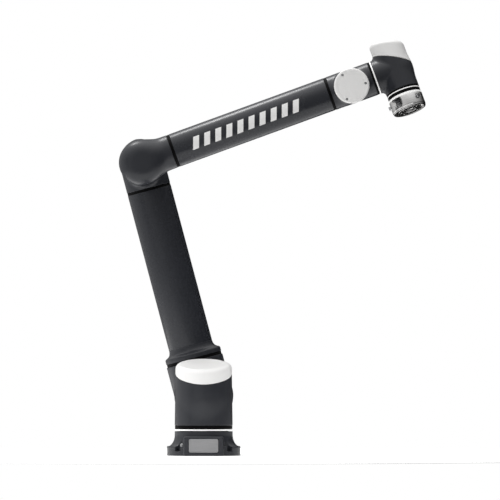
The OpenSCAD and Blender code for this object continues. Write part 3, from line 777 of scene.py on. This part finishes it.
def elbow_field(p):
    """Upper elbow housing: a barrel with a domed near end, and the root of the forearm."""
    x, y, z = p.T
    near, dome, root = -54.0, 36.0, 45.0
    barrel = round_max(np.hypot(x, z) - (ELBOW_R - 1), near - y, dome)
    leg_r = root + (FORE_R - root) * np.clip(z / REAR_BAND, 0, 1.2)
    leg = np.hypot(np.hypot(x, y), np.minimum(z, 0)) - leg_r
    return smooth_min(barrel, leg, 20)


elbow = field_mesh(elbow_field, (-66, -62, -64), (66, ELBOW_FACE + 4, REAR_BAND + 4), 2.0)
cut(elbow, elbow_field, (0, ELBOW_FACE, 0), (0, 1, 0))
cut(elbow, elbow_field, (0, 0, REAR_BAND), (0, 0, 1))
place("elbow_upper_drum", elbow, FOREARM, "forearm", "charcoal_paint", ["elbow_upper_housing"])
place("elbow_joint_seal", band(ELBOW_R - 2, 46, ELBOW_FACE, ELBOW_FACE + 6, 0.8, 0.5), ELBOW_RING_F,
      "forearm", "black_seal", ["elbow_seal"])

FRONT_BAND, FRONT_BAND_W = FOREARM_LEN - 62, 7.0
rear_end = REAR_BAND + REAR_BAND_W
place("forearm_rear_black_band", band(FORE_R - 0.5, FORE_R - FORE_WALL, REAR_BAND, rear_end, 0.8, 0.5),
      FOREARM, "forearm", "black_seal", ["forearm_rear_band"])
place("forearm_sleeve", lathe(soften([(FORE_R - FORE_WALL, rear_end, 0), (FORE_R, rear_end, 0.9),
                                      (FORE_R, FRONT_BAND, 0.9), (FORE_R - FORE_WALL, FRONT_BAND, 0)])),
      FOREARM, "forearm", "charcoal_tube", ["forearm_tube"])
place("forearm_front_black_band",
      band(FORE_R - 0.5, FORE_R - FORE_WALL, FRONT_BAND, FRONT_BAND + FRONT_BAND_W, 0.8, 0.5), FOREARM,
      "forearm", "black_seal", ["forearm_front_band"])


def stripe_bars(start, width, gap, count, height, slant, lift=0.12, thick=0.1, rows=8, columns=4):
    """Row of slanted bars printed on the near side of the forearm: thin curved patches."""
    bm = bmesh.new()
    r = FORE_R + lift
    for n in range(count):
        grid = []
        for i in range(rows + 1):
            across = (i / rows - 0.5) * height
            a = across / FORE_R
            line = []
            for k in range(columns + 1):
                z = start + n * (width + gap) + width * k / columns + across * math.tan(slant)
                line.append(bm.verts.new((-r * math.sin(a), -r * math.cos(a), z)))
            grid.append(line)
        for low, high in zip(grid, grid[1:]):
            for k in range(columns):
                bm.faces.new((low[k], low[k + 1], high[k + 1], high[k]))
    bmesh.ops.recalc_face_normals(bm, faces=bm.faces[:])
    bmesh.ops.solidify(bm, geom=bm.faces[:], thickness=-thick)
    return bm


place("forearm_stripes",
      stripe_bars(start=140, width=16, gap=14, count=10, height=32, slant=math.radians(20)), FOREARM,
      "forearm", "white_cap")

# ---------------------------------------------------------------- wrist rings

place("wrist1_joint_seal", band(FORE_R - 1, WRIST_BORE_R, WRIST2_LEG, WRIST2_LEG + 4.6, 0.8, 0.4),
      WRIST2_F @ ALONG_LEG, "wrist_2", "black_seal", ["wrist1_seal"])
place("wrist2_joint_seal", band(FORE_R - 0.5, WRIST_BORE_R, -WRIST2_FACE - 5, -WRIST2_FACE, 0.8, 0.4),
      WRIST2_F, "wrist_2", "black_seal", ["wrist2_seal"])
place("wrist2_thin_light_ring", band(FORE_R + 0.1, WRIST_BORE_R, WRIST3_LEG, WRIST3_LEG + 3.3, 0.7),
      WRIST3_F @ ALONG_LEG, "wrist_3", "light_ring", ["wrist2_light_ring"])
SEAL_A, LIGHT_B, SEAL_B = 5.0, 2.4, 8.4
a_end = WRIST3_FACE + SEAL_A
b_end = a_end + LIGHT_B
place("wrist3_black_rings", [band(FORE_R - 0.4, WRIST_BORE_R, -a_end, -WRIST3_FACE, 0.7, 0.4),
                             band(FORE_R - 0.4, WRIST_BORE_R, -b_end - SEAL_B, -b_end, 0.7, 0.4)],
      WRIST3_F, "wrist_3", "black_seal", ["wrist3_seals"])
place("wrist3_white_ring", band(FORE_R + 0.1, WRIST_BORE_R, -b_end, -a_end, 0.7), WRIST3_F, "wrist_3",
      "light_ring", ["wrist3_light_ring"])
FLANGE_FROM, FLANGE_FACE = 79.2, 112.0
tool_ring = b_end + SEAL_B + 0.4
place("tool_white_ring", band(FORE_R + 0.3, WRIST_BORE_R, -FLANGE_FROM, -tool_ring, 0.9), WRIST3_F,
      "tool_end", "light_ring", ["tool_light_ring"])

# ---------------------------------------------------------------- tool flange

END = -FLANGE_FACE
PILOT_R, PILOT_DEPTH = 15.75, 6.5
BOSS_R, GROOVE_R, GROOVE_DEPTH = 31.5, 38, 7
TOOL_BOLT_R, TOOL_BOLT_DEPTH, DOWEL_R, DOWEL_DEPTH, TOOL_CIRCLE_R = 2.5, 11, 3, 7, 25
FACE_SCREW_CIRCLE_R = 11
SOCKET_Z, SOCKET_TURNS = -91.0, (90, 223.5)
flange = soften([(8, -FLANGE_FROM, 0), (FLANGE_R, -FLANGE_FROM, 0.6), (FLANGE_R, END + 4.5, 0.4),
                 (FLANGE_R - 1.2, END + 3.6, 0.3), (FLANGE_R - 1.2, END, 0.9), (GROOVE_R, END, 0.6),
                 (GROOVE_R, END + GROOVE_DEPTH, 0.8), (BOSS_R, END + GROOVE_DEPTH, 0.8), (BOSS_R, END, 0.6),
                 (PILOT_R, END, 0.5), (PILOT_R, END + PILOT_DEPTH, 0.6), (5, END + PILOT_DEPTH, 0.4),
                 (5, END + 14, 0), (8, END + 14, 0)])


def hole(r, x, y, depth):
    """Cutter of a round hole in the flange's face, with a small chamfer."""
    bm = lathe([(0, END - 5), (r + 0.5, END - 5), (r + 0.5, END - 0.01), (r, END + 0.5), (r, END + depth),
                (0, END + depth)], 32, closed=False)
    return turned(bm, shift(x, y))


def socket_at(turn):
    """Frame of a socket in the flange's side, with z pointing outwards."""
    return (Matrix.Rotation(math.radians(turn), 4, "Z") @ shift(z=SOCKET_Z)
            @ Matrix.Rotation(math.pi / 2, 4, "Y"))


holes = []
for turn in BOLT_TURNS:
    a = math.radians(turn)
    holes.append(hole(TOOL_BOLT_R, TOOL_CIRCLE_R * math.cos(a), TOOL_CIRCLE_R * math.sin(a), TOOL_BOLT_DEPTH))
holes.append(hole(DOWEL_R, 0, TOOL_CIRCLE_R, DOWEL_DEPTH))
for turn in SOCKET_TURNS:
    pocket = lathe([(0, 35), (6.6, 35), (6.6, 43), (7.4, 44.5), (7.4, 52), (0, 52)], 40, closed=False)
    holes.append(turned(pocket, socket_at(turn)))
place("tool_flange_plate", lathe(flange, 160), WRIST3_F, "tool_end", "flange_metal", ["tool_flange"],
      cutters=holes)

bolts = []
for k in range(4):
    a = math.radians(90 * k + 22.5)
    seat = shift(FACE_SCREW_CIRCLE_R * math.cos(a), FACE_SCREW_CIRCLE_R * math.sin(a), END + PILOT_DEPTH)
    bolts.append(turned(socket_screw(2.8, 2.4, 1.4), seat @ Matrix.Rotation(math.pi, 4, "X")))
place("flange_face_bolts", bolts, WRIST3_F, "tool_end", "screw_steel", ["flange_screws"])

plugs = []
for turn in SOCKET_TURNS:
    plugs += [turned(s, socket_at(turn) @ shift(z=36.2)) for s in round_connector(5.8, 0, 8.2, 13, 4, 2.2)]
place("tool_plug_sockets", plugs, WRIST3_F, "tool_end", "socket_metal", ["tool_sockets"])

# ---------------------------------------------------------------- CAD nodes that stay

KEPT = {"reducer": "reducer_steel", "motor": "motor_copper", "drive_board": "drive_board",
        "output_hub": "reducer_steel"}
for name, obj in frame["nodes"].items():
    for ending, slot in KEPT.items():
        if name.endswith(ending):
            obj.data.materials.clear()
            obj.data.materials.append(MATERIAL[slot])

# ---------------------------------------------------------------- floor, light and camera


def floor_material():
    n = Nodes("floor")
    n.set(Specular_IOR_Level=0.1)
    n.colour(n.remap(n.noise(3, 3), 0, 1), (0.88, 0.88, 0.88), (0.9, 0.9, 0.9))
    n.link(n.remap(n.noise(60, 3), 0.75, 0.85), n.shader.inputs["Roughness"])
    n.shader.inputs["Emission Color"].default_value = (1, 1, 1, 1)
    n.shader.inputs["Emission Strength"].default_value = 0.35
    return n.mat


FLOOR_R = 1.3
floor_bm = lathe([(FLOOR_R / MM, -3), (FLOOR_R / MM, -0.6), (0, -0.6)], 96, closed=False)
floor = new_object("studio_floor", mesh_of("studio_floor", [floor_bm], BASE))
floor.data.materials.append(floor_material())


def studio_world(lobes, ambient):
    """Soft studio light: a plain level, plus wide lobes (direction, sharpness, strength).
    The camera sees plain white."""
    world = bpy.data.worlds.new("studio")
    bpy.context.scene.world = world
    world.use_nodes = True
    tree = world.node_tree
    tree.nodes.clear()
    new, link = tree.nodes.new, tree.links.new
    way = new("ShaderNodeTexCoord").outputs["Generated"]
    total = None
    for direction, sharpness, strength in lobes:
        dot = new("ShaderNodeVectorMath")
        dot.operation = "DOT_PRODUCT"
        dot.inputs[1].default_value = Vector(direction).normalized()
        link(way, dot.inputs[0])
        up = new("ShaderNodeMath")
        up.operation = "MAXIMUM"
        up.inputs[1].default_value = 0.0
        link(dot.outputs["Value"], up.inputs[0])
        power = new("ShaderNodeMath")
        power.operation = "POWER"
        power.inputs[1].default_value = sharpness
        link(up.outputs[0], power.inputs[0])
        add = new("ShaderNodeMath")
        add.operation = "MULTIPLY_ADD"
        add.inputs[1].default_value = strength
        link(power.outputs[0], add.inputs[0])
        if total is None:
            add.inputs[2].default_value = ambient
        else:
            link(total, add.inputs[2])
        total = add.outputs[0]
    floor_level = new("ShaderNodeMath")
    floor_level.operation = "MAXIMUM"
    floor_level.inputs[1].default_value = 0.02
    link(total, floor_level.inputs[0])
    light = new("ShaderNodeBackground")
    link(floor_level.outputs[0], light.inputs["Strength"])
    white = new("ShaderNodeBackground")
    white.inputs["Strength"].default_value = 1.0
    white.inputs["Color"].default_value = (1, 1, 1, 1)
    light.inputs["Color"].default_value = (1, 1, 1, 1)
    path = new("ShaderNodeLightPath")
    mix = new("ShaderNodeMixShader")
    link(path.outputs["Is Camera Ray"], mix.inputs[0])
    link(light.outputs[0], mix.inputs[1])
    link(white.outputs[0], mix.inputs[2])
    link(mix.outputs[0], new("ShaderNodeOutputWorld").inputs["Surface"])


studio_world([
    ((-1, 0, 0), 1, 0.58),                  # bright wall on the left, the key
    ((1, 0, 0), 1, -0.35),                  # dark wall on the right
    ((0, 0, 1), 3, 2.2),                    # ceiling
    ((0, 0, -1), 1, -0.3),
    ((0, 1, 0), 1.5, -0.32),                # darker behind, so outlines stay dark
    ((-0.82, -0.56, 0.1), 60, -0.8),        # dark gap in front of the left wall
    ((-0.317, 0.375, 0.871), 160, 26.0),    # small overhead light behind, for the line along the forearm
], 0.37)

VIEW_W = 1.2753                             # width of the view at the arm, in metres
VIEW_AT = Vector((0.1178, 0.1, 0.5224))
LENS, SENSOR = 1000.0, 36.0
camera = bpy.data.cameras.new("camera")
camera.lens, camera.sensor_width = LENS, SENSOR
camera.clip_start, camera.clip_end = 1.0, 200.0
view = new_object("camera", camera)
view.location = VIEW_AT - ACROSS * (VIEW_W * LENS / SENSOR)
view.rotation_euler = (math.pi / 2, 0, 0)
bpy.context.scene.camera = view
bpy.context.scene.view_settings.view_transform = "Standard"
bpy.context.scene.view_settings.look = "None"
